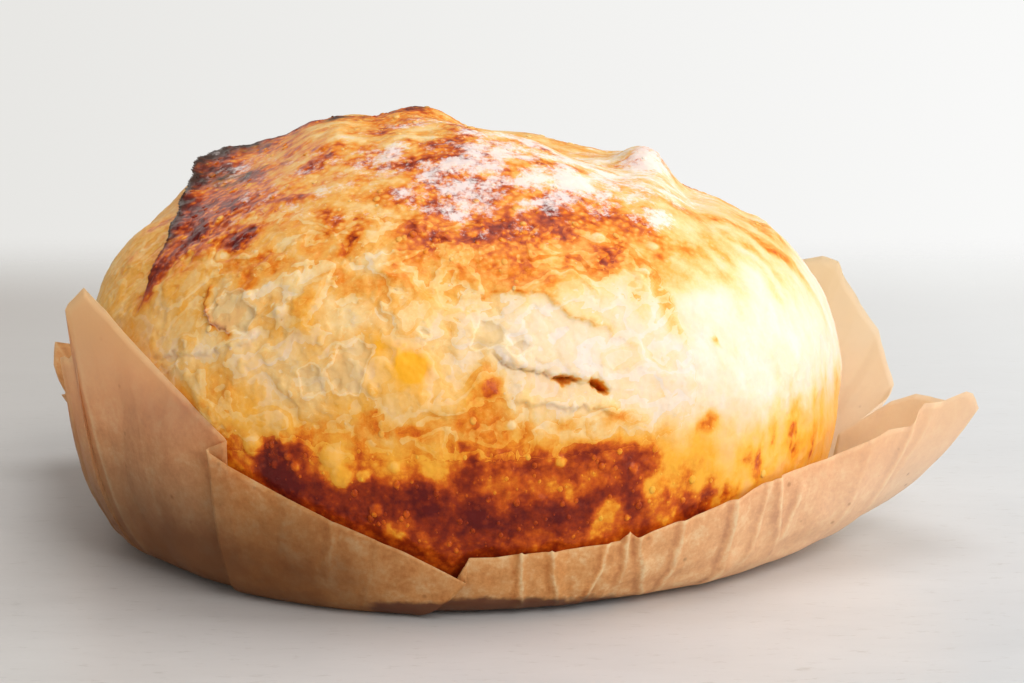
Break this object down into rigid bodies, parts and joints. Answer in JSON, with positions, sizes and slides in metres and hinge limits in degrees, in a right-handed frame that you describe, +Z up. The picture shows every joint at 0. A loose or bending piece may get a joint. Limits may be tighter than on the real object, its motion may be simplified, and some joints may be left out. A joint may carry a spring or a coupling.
{
  "type": "croissant loaf",
  "caption": "Round laminated bread loaf with a domed, torn, browned crust, standing in the open creased sheet of parchment paper it was baked on.",
  "frame": {"origin": "centre of the flat base of the paper, on the surface the loaf stands on", "axes": "+Z up; -Y towards the front, where the paper stands lowest; +X towards the low wide corner of the paper"},
  "size_m": [0.2735, 0.2116, 0.1197],
  "materials": {
    "crust": "baked crust, buttery and blistered, floured on top",
    "parchment": "unbleached baking parchment, creased, slightly glossy"
  },
  "bodies": {
    "root": {"loaf": "crust", "parchment_paper": "parchment"}
  },
  "joints": []
}
